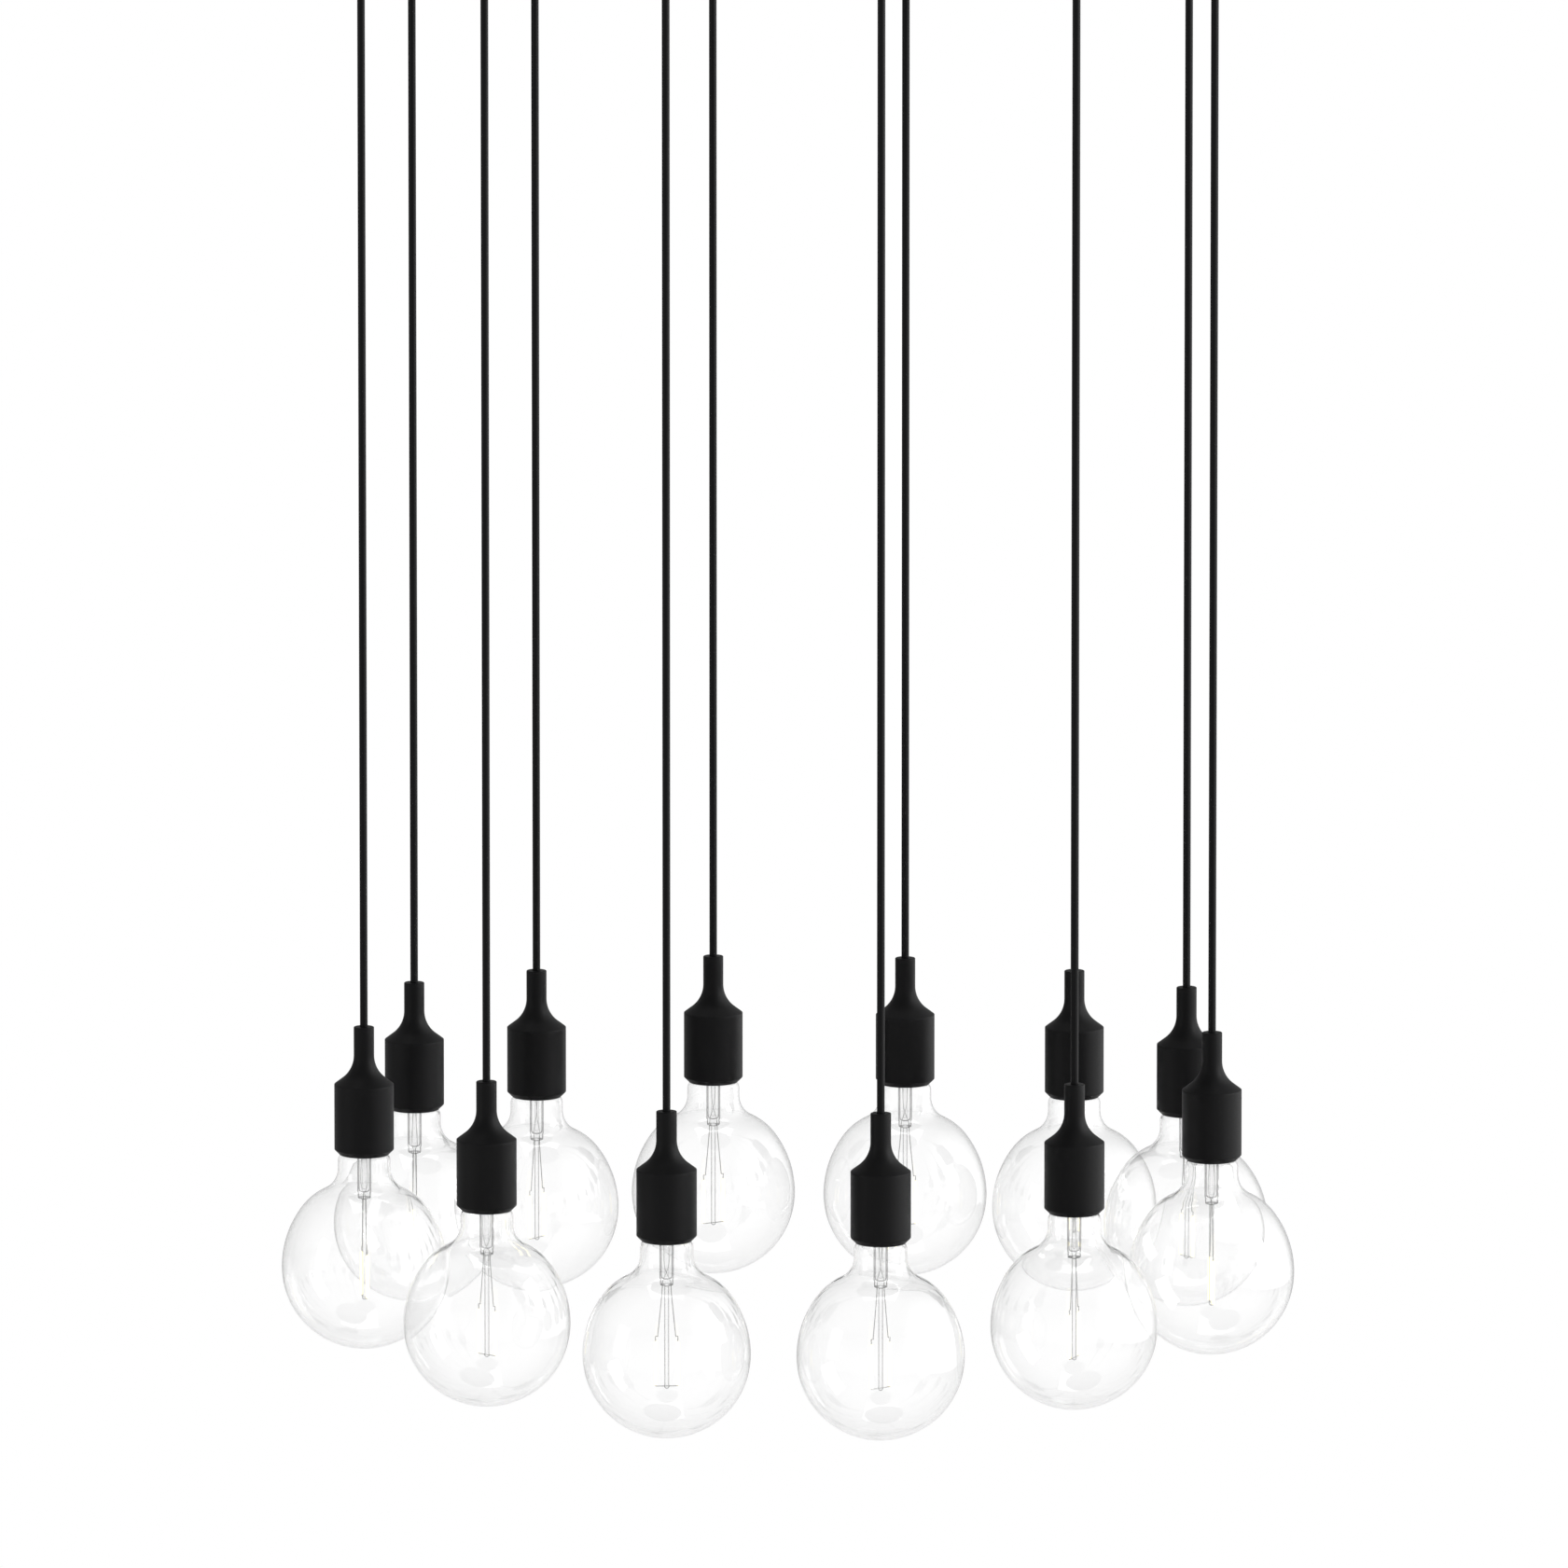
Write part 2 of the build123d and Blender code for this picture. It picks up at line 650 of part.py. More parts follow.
# ---------------------------------------------------------------- writing the files
def save(name, pieces):
    solids = []
    for piece in pieces:
        solids += list(piece.solids())
    export_step(Compound(children=solids), f"parts/{name}.step")


rim_z = -cord_drop - cover_len
cover = make_cover()
holder = make_holder()
globe = make_globe()
mount = make_cap() + make_mount()

for name, x, y, change, turn in PENDANTS:
    neck_top = -cord_drop - change
    length = bend_z - neck_top
    save(f"cord_{name}", [at(x, y, neck_top) * make_cord(length)])
    save(f"socket_{name}", [at(x, y, neck_top) * piece for piece in [cover] + holder])
    save(f"bulb_globe_{name}", [at(x, y, neck_top - cover_len) * globe])
    turned_place = at(x, y, neck_top - cover_len) * Rot(0, 0, turn)
    save(f"bulb_mount_{name}", [turned_place * piece for piece in mount])

grip = make_grip()
nut = make_nut()
stub = rod(cord_r, bend_z + cord_r + swing_gap, stub_top)
places = {name: (x, y) for name, x, y, change, turn in PENDANTS}
save("canopy_pan", make_pan())
save("ceiling_bracket", make_bracket())
save("canopy_screws", [make_side_screw(side) for side in (-1, 1)])
save("cord_grips", [at(x, y, 0) * grip for x, y in places.values()])
save("grip_nuts", [at(x, y, 0) * nut for x, y in places.values()])
save("cord_stubs", [at(x, y, 0) * stub for x, y in places.values()])
save("terminal_block", [make_block()])
save("terminal_clamps", [make_clamp(x, side) for name, x, side in ways()])
save("terminal_screws", [make_clamp_screw(x, side) for name, x, side in ways()])
save("inner_leads", [make_lead(*places[name], x, side) for name, x, side in ways()])
save("earth_terminal", make_earth())
save("supply_saddle", [make_saddle()])

print("cord length, bend to neck:", bend_z + cord_drop)
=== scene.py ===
import math

import bpy
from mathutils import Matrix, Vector


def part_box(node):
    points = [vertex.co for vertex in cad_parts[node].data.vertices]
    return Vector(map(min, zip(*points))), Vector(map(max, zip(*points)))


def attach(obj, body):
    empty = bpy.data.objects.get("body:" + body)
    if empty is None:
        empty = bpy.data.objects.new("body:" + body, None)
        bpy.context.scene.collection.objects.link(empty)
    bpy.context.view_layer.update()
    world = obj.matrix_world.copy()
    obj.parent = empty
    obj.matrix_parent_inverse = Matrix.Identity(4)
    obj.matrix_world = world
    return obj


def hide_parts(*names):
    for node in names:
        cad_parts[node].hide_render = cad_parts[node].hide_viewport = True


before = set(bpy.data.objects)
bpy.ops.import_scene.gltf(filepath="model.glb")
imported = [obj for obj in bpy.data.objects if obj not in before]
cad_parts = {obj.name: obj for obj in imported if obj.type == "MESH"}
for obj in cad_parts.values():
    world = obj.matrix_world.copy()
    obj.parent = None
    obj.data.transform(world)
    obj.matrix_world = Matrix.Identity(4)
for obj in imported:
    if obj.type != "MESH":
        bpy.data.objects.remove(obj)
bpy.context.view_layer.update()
mm = 0.001
print("frame loaded")


# general helpers


def deselectAll():
    bpy.ops.object.select_all(action="DESELECT")


def selectOnly(*things):
    deselectAll()
    for thing in things:
        thing.select_set(True)
    bpy.context.view_layer.objects.active = things[-1]


def namePiece(piece, name):
    piece.name = name
    piece.data.name = name
    return piece


def applyPlace():
    # the selected piece's place, turn and size go into its mesh
    bpy.ops.object.transform_apply(location=True, rotation=True, scale=True)


def arcPoints(centre, radius, startAngle, endAngle, steps):
    # points of an arc in the outline's plane, angles in degrees from outwards towards up
    found = []
    for step in range(steps + 1):
        angle = math.radians(startAngle + (endAngle - startAngle) * step / steps)
        across, up = radius * math.cos(angle), radius * math.sin(angle)
        found.append((centre[0] + across, centre[1] + up))
    return found


def softCorner(corner, steps):
    # a corner of an outline, taken off by points that lie a step outwards and up from it;
    # a negative step goes inwards or down
    return [(corner[0] + outwards, corner[1] + up) for outwards, up in steps]


poleRadius = 0.01  # a ring this small is merged into one point
mergeReach = 2.2 * poleRadius


def turnedPiece(name, outline, sides):
    # a ring of the outline's first radius, pulled out and resized along the outline,
    # in millimetres
    radius, height = max(outline[0][0], poleRadius), outline[0][1]
    deselectAll()
    bpy.ops.mesh.primitive_circle_add(
        vertices=sides, radius=radius * mm, location=(0, 0, height * mm), fill_type="NOTHING"
    )
    piece = namePiece(bpy.context.object, name)
    applyPlace()
    bpy.ops.object.mode_set(mode="EDIT")
    bpy.ops.mesh.select_all(action="SELECT")
    for nextRadius, nextHeight in outline[1:]:
        nextRadius = max(nextRadius, poleRadius)
        bpy.ops.mesh.extrude_region_move(
            TRANSFORM_OT_translate={"value": (0, 0, (nextHeight - height) * mm)}
        )
        growth = nextRadius / radius
        bpy.ops.transform.resize(
            value=(growth, growth, 1), center_override=(0, 0, nextHeight * mm)
        )
        radius, height = nextRadius, nextHeight
    bpy.ops.mesh.select_all(action="SELECT")
    bpy.ops.mesh.remove_doubles(threshold=mergeReach * mm)
    bpy.ops.mesh.normals_make_consistent(inside=False)
    bpy.ops.object.mode_set(mode="OBJECT")
    return piece


def smoothPiece(piece, angle=30):
    # shaded smooth across edges that turn by less than the angle, in degrees
    selectOnly(piece)
    bpy.ops.object.shade_smooth_by_angle(angle=math.radians(angle))
    return piece


def joinPieces(name, *pieces):
    selectOnly(*pieces)
    bpy.ops.object.join()
    return namePiece(bpy.context.object, name)


def copyPiece(pattern, name, place, turn):
    # a copy with its own mesh, turned about the upright and moved, its place left in the mesh
    selectOnly(pattern)
    bpy.ops.object.duplicate()
    piece = namePiece(bpy.context.object, name)
    piece.rotation_euler = (0, 0, math.radians(turn))
    piece.location = place
    applyPlace()
    return piece


def routedPiece(name, routes, diameter, roundness):
    # round lines along smooth routes: places in metres, diameter in millimetres
    line = bpy.data.curves.new(name, "CURVE")
    line.dimensions = "3D"
    line.bevel_depth = diameter / 2 * mm
    line.bevel_resolution = roundness
    line.use_fill_caps = True
    for route in routes:
        spline = line.splines.new("NURBS")
        spline.points.add(len(route) - 1)
        for point, place in zip(spline.points, route):
            point.co = (*place, 1)
        spline.order_u = 3
        spline.use_endpoint_u = True
    piece = bpy.data.objects.new(name, line)
    bpy.context.scene.collection.objects.link(piece)
    return piece


# the camera: a long lens, ten degrees above level

camera = {
    "place": (-0.0028, -19.696, 2.733), "pitch": 80, "lens": 609.9, "sensor": 36, "reach": 120,
}  # fmt: skip
bpy.ops.object.camera_add(
    location=camera["place"], rotation=(math.radians(camera["pitch"]), 0, 0)
)
cameraObject = bpy.context.object
cameraObject.name = "photographCamera"
cameraObject.data.lens = camera["lens"]
cameraObject.data.sensor_width = camera["sensor"]
cameraObject.data.clip_end = camera["reach"]
bpy.context.scene.camera = cameraObject


# where the pendants hang

# degrees that each lamp stopped turned from the plane of the view
bulbTurns = {
    "01": -74, "02": -42, "03": 0, "04": 34, "05": 65, "06": -82,
    "07": -56, "08": -40, "09": 15, "10": 26, "11": 50, "12": 78,
}  # fmt: skip
coverLength = 98
cordFacts = {"diameter": 5.8, "straight": 35, "stiffness": "medium", "roundness": 8}


def findPendant(number):
    # the heights and the middle of a pendant, read from its CAD nodes
    low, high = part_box("socket_" + number)
    cordLow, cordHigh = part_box("cord_" + number)
    return {
        "number": number,
        "x": (low.x + high.x) / 2,
        "y": (low.y + high.y) / 2,
        "neckTop": high.z,
        "rim": high.z - coverLength * mm,
        "bend": cordHigh.z - cordFacts["diameter"] / 2 * mm,  # where the cord leaves its grip
        "cordEnd": cordLow.z,
        "turn": bulbTurns[number],
    }


pendants = [findPendant(number) for number in sorted(bulbTurns)]


# material helpers


def addNode(material, kind, values=(), **settings):
    node = material.node_tree.nodes.new(kind)
    for name, value in settings.items():
        setattr(node, name, value)
    for name, value in dict(values).items():
        node.inputs[name].default_value = value
    return node


def linkNodes(material, start, startSocket, end, endSocket):
    material.node_tree.links.new(start.outputs[startSocket], end.inputs[endSocket])


def newMaterial(name, values):
    material = bpy.data.materials.new(name)
    material.use_nodes = True
    shader = material.node_tree.nodes["Principled BSDF"]
    for socket, value in values.items():
        shader.inputs[socket].default_value = value
    return material, shader


def addGrain(material, scale, detail):
    # noise on the object's own coordinates
    place = addNode(material, "ShaderNodeTexCoord")
    noise = addNode(material, "ShaderNodeTexNoise", {"Scale": scale, "Detail": detail})
    linkNodes(material, place, "Object", noise, "Vector")
    return noise


def addRamp(material, source, socket, stops):
    # a colour ramp over a node's value; stops are pairs of position and colour
    ramp = addNode(material, "ShaderNodeValToRGB")
    while len(ramp.color_ramp.elements) < len(stops):
        ramp.color_ramp.elements.new(1)
    for element, (position, colour) in zip(ramp.color_ramp.elements, stops):
        element.position = position
        element.color = (*colour, 1)
    linkNodes(material, source, socket, ramp, "Fac")
    return ramp


# how the plain finishes vary: in a fine grain, and in patches that are many times wider
variation = {
    "grainRange": (0.3, 0.7), "grainDetail": 3, "wider": 40, "patchDetail": 2,
    "patchRange": (0.35, 0.65), "bumpStrength": 0.4,
}  # fmt: skip


def plainFinish(name, dark, light, roughness, grainScale=900, bumpDepth=0.00002, values=()):
    # a finish whose colour, gloss and surface all vary a little
    material, shader = newMaterial(name, dict(values))
    fine = addGrain(material, grainScale, variation["grainDetail"])
    broad = addGrain(material, grainScale / variation["wider"], variation["patchDetail"])
    stops = list(zip(variation["patchRange"], (dark, light)))
    linkNodes(material, addRamp(material, broad, "Fac", stops), "Color", shader, "Base Color")
    limits = dict(zip(("From Min", "From Max"), variation["grainRange"]))
    limits |= dict(zip(("To Min", "To Max"), roughness))
    span = addNode(material, "ShaderNodeMapRange", limits)
    linkNodes(material, fine, "Fac", span, "Value")
    linkNodes(material, span, "Result", shader, "Roughness")
    depths = {"Strength": variation["bumpStrength"], "Distance": bumpDepth}
    bump = addNode(material, "ShaderNodeBump", depths)
    linkNodes(material, fine, "Fac", bump, "Height")
    linkNodes(material, bump, "Normal", shader, "Normal")
    return material


def dress(piece, *materials):
    piece.data.materials.clear()
    for material in materials:
        piece.data.materials.append(material)


# finishes: a darker and a lighter tone, and the range of the roughness

metal = {"Metallic": 1.0}
mattRubber = {"Specular IOR Level": 0.09}  # sends back little of the room
siliconeBlack = plainFinish(
    "siliconeBlack", (0.0044, 0.0044, 0.0047), (0.0058, 0.0058, 0.0061), (0.44, 0.54),
    values=mattRubber,
)  # fmt: skip
cordSheath = plainFinish(
    "cordSheath", (0.0034, 0.0034, 0.0037), (0.0046, 0.0046, 0.005), (0.41, 0.45),
    grainScale=300, bumpDepth=0.000001, values=mattRubber,
)  # fmt: skip
phenolicBlack = plainFinish(
    "phenolicBlack", (0.012, 0.011, 0.010), (0.018, 0.017, 0.016), (0.3, 0.4)
)
powderCoat = plainFinish(
    "powderCoat", (0.010, 0.010, 0.011), (0.015, 0.015, 0.016), (0.40, 0.50),
    grainScale=1400, bumpDepth=0.00006, values={"Specular IOR Level": 0.2},
)  # fmt: skip
screwBlack = plainFinish(
    "screwBlack", (0.010, 0.010, 0.011), (0.018, 0.018, 0.019), (0.22, 0.34)
)
nylonBlack = plainFinish(
    "nylonBlack", (0.010, 0.010, 0.010), (0.014, 0.014, 0.014), (0.34, 0.44)
)
terminalWhite = plainFinish(
    "terminalWhite", (0.66, 0.65, 0.61), (0.71, 0.70, 0.66), (0.32, 0.42)
)
zincSteel = plainFinish(
    "zincSteel", (0.36, 0.37, 0.39), (0.46, 0.47, 0.49), (0.42, 0.56),
    grainScale=500, values=metal,
)  # fmt: skip
brassBright = plainFinish(
    "brassBright", (0.66, 0.46, 0.18), (0.76, 0.56, 0.26), (0.2, 0.34),
    grainScale=700, values=metal,
)  # fmt: skip
capNickel = plainFinish(
    "capNickel", (0.60, 0.59, 0.56), (0.70, 0.69, 0.66), (0.18, 0.3),
    grainScale=800, values=metal,
)  # fmt: skip
leadGrey = plainFinish("leadGrey", (0.20, 0.20, 0.205), (0.24, 0.24, 0.245), (0.4, 0.5))
wireNickel = plainFinish(
    "wireNickel", (0.42, 0.42, 0.42), (0.52, 0.52, 0.51), (0.34, 0.46),
    grainScale=2000, values=metal,
)  # fmt: skip
insulatorBlack = plainFinish(
    "insulatorBlack", (0.008, 0.008, 0.012), (0.014, 0.014, 0.02), (0.08, 0.14)
)


# glass, whose tones and cover change from where it faces the viewer to where it is seen
# along its wall, as pairs of that turn (0 to 1) and the value there; these tones and cover
# are painted shade that makes the glass greyer towards its edges

glassFacts = {
    "bending": 1.45,
    "globeEdgeShade": [
        (0.0, 1.0), (0.20, 0.988), (0.36, 0.95), (0.52, 0.90), (0.8, 0.855), (1.0, 0.875),
    ],
    "crossings": 12,
    "deepGlowTone": 0.93,
    # the dark grey of the tubes and their cover below are painted shade for their edges
    "tubeShadeColour": (0.10, 0.10, 0.10, 1),
    "tubeRoughness": 0.05,
    "stemShadeCover": [(0.36, 0.02), (0.58, 0.38), (0.80, 0.92)],
    "rodShadeCover": [(0.14, 0.02), (0.34, 0.22), (0.70, 0.72)],
    "exhaustShadeCover": [(0.25, 0.01), (0.50, 0.12), (0.85, 0.55)],
}  # fmt: skip


def addFacing(material, stops):
    # a ramp over how far the surface is turned away
    weight = addNode(material, "ShaderNodeLayerWeight", {"Blend": 0.5})
    return addRamp(material, weight, "Facing", stops)


# painted shade that grows where the surface is turned away, set on one of the shader's sockets
def paintedEdgeShade(material, shader, socket, stops):
    tones = addFacing(material, [(turn, (tone, tone, tone)) for turn, tone in stops])
    linkNodes(material, tones, "Color", shader, socket)


def globeFinish():
    values = {"Transmission Weight": 1.0, "IOR": glassFacts["bending"], "Roughness": 0.0}
    material, shader = newMaterial("clearGlass", values)
    # painted shade: the globe's colour greys towards its edges
    paintedEdgeShade(material, shader, "Base Color", glassFacts["globeEdgeShade"])
    # light is followed through three globes in a row, four crossings each, and what lies behind
    # more of them is pale: there the glass itself glows with a painted pale light
    path = addNode(material, "ShaderNodeLightPath")
    deepest = {1: glassFacts["crossings"] - 0.5}
    last = addNode(material, "ShaderNodeMath", deepest, operation="GREATER_THAN")
    pale = addNode(material, "ShaderNodeMath", {1: glassFacts["deepGlowTone"]}, operation="MULTIPLY")
    linkNodes(material, path, "Ray Depth", last, 0)
    linkNodes(material, last, "Value", pale, 0)
    linkNodes(material, pale, "Value", shader, "Emission Color")
    shader.inputs["Emission Strength"].default_value = 1.0
    return material


def tubeFinish(name, stops):
    # thin glassware: clear across its face, with painted grey shade along its edges, drawn as a
    # dark film that grows opaque where the wall is seen edge on
    values = {"Base Color": glassFacts["tubeShadeColour"], "Roughness": glassFacts["tubeRoughness"]}
    material, shader = newMaterial(name, values)
    paintedEdgeShade(material, shader, "Alpha", stops)
    return material


clearGlass = globeFinish()
stemGlass = tubeFinish("stemGlass", glassFacts["stemShadeCover"])
rodGlass = tubeFinish("rodGlass", glassFacts["rodShadeCover"])
tubeGlass = tubeFinish("tubeGlass", glassFacts["exhaustShadeCover"])


# lit phosphor, white in the middle and yellower where its coating is seen along the side

glow = {
    "grain": 1500, "detail": 2, "roughness": 0.6, "strength": 1.0,
    "coating": [(0.3, (1.0, 0.90, 0.55)), (0.7, (1.0, 0.93, 0.64))],
    "light": [(0.10, (1.0, 0.98, 0.80)), (0.80, (1.0, 0.84, 0.38))],
}  # fmt: skip


def filamentFinish():
    values = {"Roughness": glow["roughness"], "Emission Strength": glow["strength"]}
    material, shader = newMaterial("filamentGlow", values)
    grain = addGrain(material, glow["grain"], glow["detail"])
    coating = addRamp(material, grain, "Fac", glow["coating"])
    linkNodes(material, coating, "Color", shader, "Base Color")
    linkNodes(material, addFacing(material, glow["light"]), "Color", shader, "Emission Color")
    return material


filamentGlow = filamentFinish()
print("finishes made")


# cords


def hangCord(pendant):
    # straight down from the grip, into the cover's neck and on to the lampholder
    straight = cordFacts["straight"] * mm
    heights = [
        pendant["bend"],
        pendant["bend"] - straight,
        (pendant["bend"] + pendant["neckTop"]) / 2,
        pendant["neckTop"] + straight,
        pendant["cordEnd"],
    ]
    route = [(pendant["x"], pendant["y"], height) for height in heights]
    name = "pendantCord_" + pendant["number"]
    piece = routedPiece(name, [route], cordFacts["diameter"], cordFacts["roundness"])
    dress(piece, cordSheath)
    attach(piece, "pendant_" + pendant["number"])
    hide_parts("cord_" + pendant["number"])


for pendant in pendants:
    hangCord(pendant)
print("cords hung")


def placeCopies(pattern, name, replaced, body, height, turned=False):
    # one copy of a pattern in every pendant
    for pendant in pendants:
        place = (pendant["x"], pendant["y"], pendant[height])
        turn = pendant["turn"] if turned else 0
        piece = copyPiece(pattern, name + pendant["number"], place, turn)
        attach(piece, body + pendant["number"])
        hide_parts(replaced + pendant["number"])
    bpy.data.objects.remove(pattern)


# silicone covers, measured down from the top of the neck

coverShape = {
    "bore": 3.05, "boreEnds": (1.2, 25), "neckRadius": 7.7, "neckEdge": 0.7, "neckRings": (8, 15),
    "flareRadius": 22.0, "flareLow": 21.88, "flareTurn": 53, "radius": 22.5, "shoulder": 44,
    "middle": 69, "chamfer": 4.0, "opening": 18.05, "lip": 3.0, "cavity": 19.1,
    "holderTop": 56.79, "domeTop": 51.69, "domeRadius": 9.5, "edge": 0.3,
    "shoulderEdge": [(-1.4, 1.05), (-0.35, 0.2625), (-0.105, 0.0175), (0, -0.28), (0, -1.4)],
    "chamferEdge": [(0, 0.7), (0, 0.28), (-0.0875, 0), (-0.35, -0.315)],
    "rimEdge": [(0.3, 0.33), (0.09, 0.09)], "openingEdge": [(0.25, 0), (0, 0.3)],
    "edgeSteps": 4, "flareSteps": 14, "sides": 96, "smooth": 24,
}  # fmt: skip


def makeCover():
    shape = coverShape
    neck, edge, outer = shape["neckRadius"], shape["neckEdge"], shape["radius"]
    bore, small, low = shape["bore"], shape["edge"], -coverLength
    boreTop, boreLow = shape["boreEnds"]
    outline = [(bore, -boreTop), (bore, -small), (bore + small, 0)]
    outline += arcPoints((neck - edge, -edge), edge, 90, 0, shape["edgeSteps"])
    outline += [(neck, -depth) for depth in shape["neckRings"]]
    flareCentre = (neck + shape["flareRadius"], -shape["flareLow"])
    flareEnd = 180 + shape["flareTurn"]
    outline += arcPoints(flareCentre, shape["flareRadius"], 180, flareEnd, shape["flareSteps"])
    outline += softCorner((outer, -shape["shoulder"]), shape["shoulderEdge"])
    outline.append((outer, -shape["middle"]))
    outline += softCorner((outer, low + shape["chamfer"]), shape["chamferEdge"])
    outline += softCorner((outer - shape["chamfer"], low), shape["rimEdge"])
    outline += softCorner((shape["opening"], low), shape["openingEdge"])
    outline += [
        (shape["opening"], low + shape["lip"]),
        (shape["cavity"], low + shape["lip"]),
        (shape["cavity"], -shape["holderTop"]),
        (shape["domeRadius"], -shape["domeTop"]),
        (bore, -shape["domeTop"]),
        (bore, -boreLow),
        (bore, -boreTop),
    ]
    piece = turnedPiece("coverPattern", outline, shape["sides"])
    dress(piece, siliconeBlack)
    return smoothPiece(piece, shape["smooth"])


placeCopies(makeCover(), "socketCover_", "socket_", "pendant_", "neckTop")
print("covers made")


# lampholders inside the covers, measured down from the top of the neck

holderShape = {
    "radius": 19.0, "low": 95, "top": 56.79, "domeRadius": 18.3, "domeLift": 0.3,
    "domeTop": 51.79, "domeFlat": 9.0, "bore": 3.05, "domeBore": 4.5, "chamber": 11.3,
    "chamberTop": 59.79, "lampBore": 13.3, "lampBoreTop": 70.79, "mouth": 16.8, "edge": 0.4,
    "brimEdge": [(0, -0.6), (-0.4, 0)], "domeEdge": [(0.4, -0.3), (-0.3, 0)], "sides": 64,
}  # fmt: skip


def makeHolder():
    shape = holderShape
    outer, edge, low = shape["radius"], shape["edge"], -shape["low"]
    top, domeTop = -shape["top"], -shape["domeTop"]
    outline = [(outer, low + edge)]
    outline += softCorner((outer, top), shape["brimEdge"])
    outline.append((shape["domeRadius"], top + shape["domeLift"]))
    outline += softCorner((shape["domeFlat"], domeTop), shape["domeEdge"])
    outline += [
        (shape["bore"], domeTop),
        (shape["bore"], top),
        (shape["domeBore"], top),
        (shape["domeBore"], -shape["chamberTop"]),
        (shape["chamber"], -shape["chamberTop"]),
        (shape["chamber"], -shape["lampBoreTop"]),
        (shape["lampBore"], -shape["lampBoreTop"]),
        (shape["lampBore"], low + shape["mouth"] - shape["lampBore"]),
        (shape["mouth"], low),
        (outer - edge, low),
        (outer, low + edge),
    ]
    piece = turnedPiece("holderPattern", outline, shape["sides"])
    dress(piece, phenolicBlack)
    return smoothPiece(piece)


placeCopies(
    makeHolder(), "lampholder_", "socket_", "pendant_", "neckTop"
)
print("lampholders made")


# the sprung tongue in each lampholder, which presses on the lamp's centre contact

contactShape = {
    "half": 10.7, "width": 6.0, "thick": 0.8, "low": 65.55, "legTop": 59.8,
    "edge": 0.15, "edgeSteps": 2, "smooth": 40,
}  # fmt: skip


def makeContact():
    shape = contactShape
    half, thick = shape["half"], shape["thick"]
    legInside = (half - thick) * mm
    deselectAll()
    bpy.ops.mesh.primitive_cube_add(
        size=mm,
        location=(0, 0, (thick / 2 - shape["low"]) * mm),
        scale=(2 * half, shape["width"], thick),
    )
    piece = namePiece(bpy.context.object, "contactPattern")
    applyPlace()
    bpy.ops.object.mode_set(mode="EDIT")
    for side in (-1, 1):
        bpy.ops.mesh.select_all(action="SELECT")
        bpy.ops.mesh.bisect(plane_co=(side * legInside, 0, 0), plane_no=(1, 0, 0))
    # both ends of the upper side are pulled up into legs
    bpy.ops.mesh.select_mode(type="FACE")
    bpy.ops.mesh.select_all(action="DESELECT")
    bpy.ops.object.mode_set(mode="OBJECT")
    for face in piece.data.polygons:
        face.select = face.normal.z > 0.5 and abs(face.center.x) > legInside
    bpy.ops.object.mode_set(mode="EDIT")
    rise = shape["low"] - thick - shape["legTop"]
    bpy.ops.mesh.extrude_region_move(TRANSFORM_OT_translate={"value": (0, 0, rise * mm)})
    bpy.ops.mesh.select_mode(type="VERT")
    bpy.ops.object.mode_set(mode="OBJECT")
    soft = piece.modifiers.new("softEdges", "BEVEL")
    soft.width, soft.segments = shape["edge"] * mm, shape["edgeSteps"]
    bpy.ops.object.modifier_apply(modifier=soft.name)
    dress(piece, brassBright)
    return smoothPiece(piece, shape["smooth"])


placeCopies(makeContact(), "holderContact_", "socket_", "pendant_", "neckTop")
print("contacts made")


# glass globes, measured down from the rim of the cover

globeShape = {
    "radius": 62.5, "centre": 86.0, "upperRadius": 75.0, "upperTurn": 36.87,
    "shoulderCentre": (10.7, -68.6), "shoulderRadius": 46.0, "shoulderTurn": 64.85,
    "filletCentre": (37.9, -10.67), "filletRadius": 18.0, "neckEdge": 5.9, "neckRadius": 19.9,
    "neckEdgeDepth": 4.5, "neckEdgeTurn": 49.7, "coneTop": (11.3, 5.53), "top": 16.5,
    "wall": 1.0, "sides": 96, "smooth": 35,
    "ballSteps": 26, "upperSteps": 14, "shoulderSteps": 9, "filletSteps": 10, "neckSteps": 5,
}  # fmt: skip


def makeGlobe():
    shape = globeShape
    ball, upper, low = shape["radius"], shape["upperRadius"], -shape["centre"]
    turn, farTurn = shape["upperTurn"], shape["shoulderTurn"]
    outline = arcPoints((0, low), ball, -90, 0, shape["ballSteps"])
    # each of these arcs starts where the one before it ends, so its first point is left out
    for centre, radius, start, end, steps in (
        ((ball - upper, low), upper, 0, turn, shape["upperSteps"]),
        (shape["shoulderCentre"], shape["shoulderRadius"], turn, farTurn, shape["shoulderSteps"]),
        (shape["filletCentre"], shape["filletRadius"], 180 + farTurn, 180, shape["filletSteps"]),
    ):
        outline += arcPoints(centre, radius, start, end, steps)[1:]
    edge = shape["neckEdge"]
    neckCentre = (shape["neckRadius"] - edge, -shape["neckEdgeDepth"])
    outline += arcPoints(neckCentre, edge, 0, shape["neckEdgeTurn"], shape["neckSteps"])
    outline += [shape["coneTop"], (shape["coneTop"][0], shape["top"])]
    piece = turnedPiece("globePattern", outline, shape["sides"])
    selectOnly(piece)
    wall = piece.modifiers.new("glassWall", "SOLIDIFY")
    wall.thickness = shape["wall"] * mm
    wall.offset = -1
    bpy.ops.object.modifier_apply(modifier=wall.name)
    dress(piece, clearGlass)
    return smoothPiece(piece, shape["smooth"])


placeCopies(makeGlobe(), "globe_", "bulb_globe_", "bulb_travel_", "rim")
print("globes made")


# lamp caps, measured up from the rim of the cover

